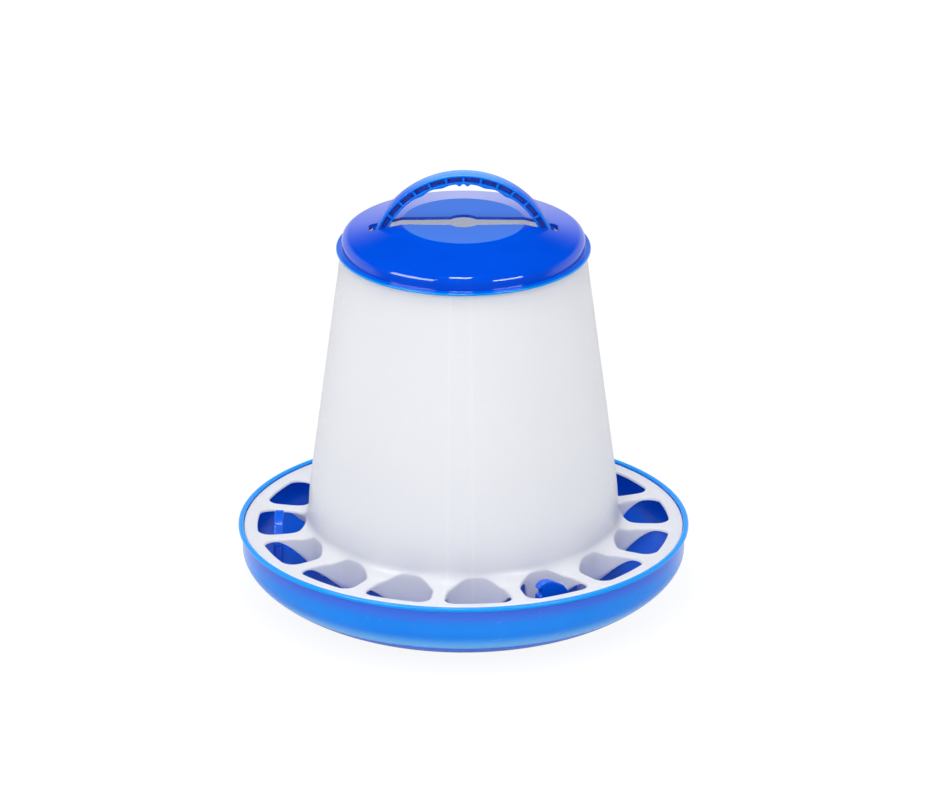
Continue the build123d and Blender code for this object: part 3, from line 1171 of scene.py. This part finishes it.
stations = []
arch_steps = 268
for index in range(arch_steps + 1):
    angle = -arch_angle + 2 * arch_angle * index / arch_steps
    up = Vector((math.sin(math.radians(angle)), math.cos(math.radians(angle))))
    spot = Vector((0, arch_center)) + up * arch_middle
    stations.append((spot, up, (handle_width - handle_web) / 2, swelling(angle)))
arch_end, arch_up = stations[-1][:2]
knee_point = Vector((foot_reach, knee - 1.0))
along = (knee_point - arch_end).normalized()
leg = [(arch_end + along * 0.05, arch_up, 0.0, 0.0)]
for share in (0.25, 0.5, 0.75, 0.93):
    leg.append((arch_end.lerp(knee_point, share), Vector((-along.y, along.x)), 0.0, 0.0))
foot_length = knee - 1.0 - foot_bottom
for drop, tilt in ((0.5, 0.35), (2.0, 0.12), (3.5, 0.0), (7.0, 0.0), (foot_length, 0.0)):
    up = Vector((math.cos(tilt), math.sin(tilt)))
    leg.append((knee_point - Vector((0, drop)), up, 0.0, 0.0))
mirrored = []
for spot, up, pocket, bump in reversed(leg):
    mirrored.append((Vector((-spot.x, spot.y)), Vector((-up.x, up.y)), pocket, bump))
points = []
rings = []
for spot, up, pocket, bump in mirrored + stations + leg:
    section = i_section(pocket, bump)
    rings.append(list(range(len(points), len(points) + len(section))))
    points += [(spot.x + up.x * rise, across, spot.y + up.y * rise) for across, rise in section]
boss_turn = math.radians(3.4)
boss_x, boss_y = arch_middle * math.sin(boss_turn), arch_middle * math.cos(boss_turn)
boss_section = [(0, 0.7), (1.35, 0.7), (1.35, 2.3), (1.1, 2.55), (0, 2.6)]
boss_points, boss_faces = lathe(boss_section, 16)
boss_points = [(boss_x + x, -z, arch_center + boss_y + y) for x, y, z in boss_points]
shape = joined((points, capped(rings)), (boss_points, boss_faces))
handle = piece_from("handle_arch", *shape, handle_blue)
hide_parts("handle")
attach(handle, "hopper")


def rib_tree():
    """Ribs spread evenly along an arch that stands in the XZ plane."""
    tree, source = geometry_tree(
        "arch_ribs",
        {
            "Count": "Int",
            "Pitch": "Float",
            "Radius": "Float",
            "Centre height": "Float",
            "Rib": "Object",
            "Material": "Material",
        },
    )
    line, number = numbered_points(tree, source["Count"])
    last = maths(tree, "SUBTRACT", source["Count"], 1)
    from_top = maths(tree, "SUBTRACT", number, maths(tree, "DIVIDE", last, 2))
    angle = maths(tree, "MULTIPLY", from_top, source["Pitch"])
    out = maths(tree, "MULTIPLY", maths(tree, "SINE", angle), source["Radius"])
    rise = maths(tree, "MULTIPLY", maths(tree, "COSINE", angle), source["Radius"])
    height = maths(tree, "ADD", rise, source["Centre height"])
    spot = add_node(tree, "ShaderNodeCombineXYZ", {"X": out, "Z": height})
    place = add_node(
        tree, "GeometryNodeSetPosition", {"Geometry": line, "Position": spot.outputs["Vector"]}
    )
    turn = add_node(tree, "ShaderNodeCombineXYZ", {"Y": angle}).outputs["Vector"]
    copies = copied(tree, place.outputs["Geometry"], source["Rib"], turn)
    return made_real(tree, copies, source["Material"])


rib_gap = 0.15
rib_half = handle_width / 2 - rib_gap
rib_low = -handle_depth / 2 + inner_flange / 2
rib_high = handle_depth / 2 - outer_flange / 2
rib = slab_between(
    "rib",
    [(-rib_half, rib_low), (rib_half, rib_low), (rib_half, rib_high), (-rib_half, rib_high)],
    -rib_thickness / 2,
    rib_thickness / 2,
    lambda depth, t, z: (depth, t, z),
)
rib = softened(rib, "rib", width=0.25, segments=2, limit=30.0)
ribs = grown(
    "handle_ribs",
    rib_tree(),
    {
        "Count": rib_count,
        "Pitch": math.radians(rib_pitch),
        "Radius": arch_middle * MM,
        "Centre height": arch_center * MM,
        "Rib": rib,
        "Material": handle_blue,
    },
)
bpy.data.objects.remove(rib)
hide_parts("handle")
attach(ribs, "hopper")

# Studio: white floor and backdrop, a soft box above, a front box that lights only diffusely and
# two strips that show only in gloss, and the camera at the photograph's angle, far away behind a
# long lens. In gloss the world and the floor are dark in front and bright low behind.
floor_size = 20000
floor_grey = 0.86
floor_white_level = 1.04
floor_white_share = 0.88
gloss_dark = 0.06
gloss_dark_y, gloss_bright_y = -0.16, 0.04
half = floor_size
floor = piece_from(
    "floor",
    [(-half, -half, 0), (half, -half, 0), (half, half, 0), (-half, half, 0)],
    [(0, 1, 2, 3)],
)
floor_white = bpy.data.materials.new("floor_white")
floor_white.use_nodes = True
floor.data.materials.append(floor_white)
tree = floor_white.node_tree
tree.nodes.remove(tree.nodes["Principled BSDF"])
matt = add_node(tree, "ShaderNodeBsdfDiffuse", {"Color": (floor_grey, floor_grey, floor_grey, 1)})
ray = add_node(tree, "ShaderNodeLightPath").outputs
farther = ranged(tree, own_coordinates(tree)["Y"], gloss_dark_y, gloss_bright_y, gloss_dark)
strength = mixed(tree, "FLOAT", ray["Is Glossy Ray"], floor_white_level, farther)
lit = add_node(tree, "ShaderNodeEmission", {"Strength": strength})
share = maths(tree, "MULTIPLY_ADD", ray["Is Camera Ray"], floor_white_share, ray["Is Glossy Ray"])
surfaced(tree, share, matt.outputs["BSDF"], lit.outputs["Emission"])

fill_level = 0.89
fill_to_right = -0.12
ceiling_start, ceiling_end = math.sin(math.radians(12)), math.sin(math.radians(32))
behind_start, behind_full = -0.2, 0.45
front_level = 0.05
world = bpy.data.worlds.new("studio")
bpy.context.scene.world = world
world.use_nodes = True
tree = world.node_tree
ray = add_node(tree, "ShaderNodeLightPath").outputs
direction = add_node(tree, "ShaderNodeTexCoord").outputs["Generated"]
towards = add_node(tree, "ShaderNodeSeparateXYZ", {"Vector": direction}).outputs
sideways = maths(tree, "MULTIPLY_ADD", towards["X"], fill_to_right, fill_level)
below_ceiling = eased(tree, towards["Z"], ceiling_end, ceiling_start, 1)
behind = ranged(tree, towards["Y"], behind_start, behind_full, front_level, 1.0, "SMOOTHSTEP")
backdrop = maths(tree, "MULTIPLY", below_ceiling, behind)
glossy = mixed(tree, "FLOAT", ray["Is Glossy Ray"], sideways, backdrop)
seen = maths(tree, "MAXIMUM", ray["Is Camera Ray"], ray["Is Transmission Ray"])
level = mixed(tree, "FLOAT", seen, glossy, 1.0)
fill(tree, tree.nodes["Background"], {"Color": (1, 1, 1, 1), "Strength": level})

for name, spot, aim_height, width, height, power, hidden_from in (
    ("top_box", (-0.05, -0.35, 1.9), 0.15, 0.35, 0.5, 11.0, None),
    ("left_strip", (-0.90, -0.76, 0.85), 0.25, 0.95, 0.50, 18.0, "visible_diffuse"),
    ("right_strip", (0.80, -0.90, 0.65), 0.25, 0.60, 0.30, 9.0, "visible_diffuse"),
    ("front_box", (-0.15, -1.45, 1.45), 0.12, 0.8, 0.6, 7.0, "visible_glossy"),
):
    data = bpy.data.lights.new(name, "AREA")
    data.shape = "RECTANGLE"
    data.size = width
    data.size_y = height
    data.energy = power
    lamp = in_scene(name, data)
    lamp.location = spot
    aim = Vector((0, 0, aim_height)) - Vector(spot)
    lamp.rotation_euler = aim.to_track_quat("-Z", "Y").to_euler()
    if hidden_from:
        setattr(lamp, hidden_from, False)

image_width = 940
focal_pixels = 15009.2
sensor_width = 36.0
camera_distance = 10.0
elevation = math.radians(22.15)
look_at = Vector((0.00433, 0.0277, 0.1303))
camera_data = bpy.data.cameras.new("camera")
camera_data.sensor_width = sensor_width
camera_data.lens = focal_pixels * sensor_width / image_width
camera_data.clip_end = 100.0
camera = in_scene("camera", camera_data)
towards_camera = Vector((0, -math.cos(elevation), math.sin(elevation)))
camera.location = look_at + camera_distance * towards_camera
camera.rotation_euler = (math.pi / 2 - elevation, 0, 0)
bpy.context.scene.camera = camera
bpy.context.scene.view_settings.view_transform = "Standard"
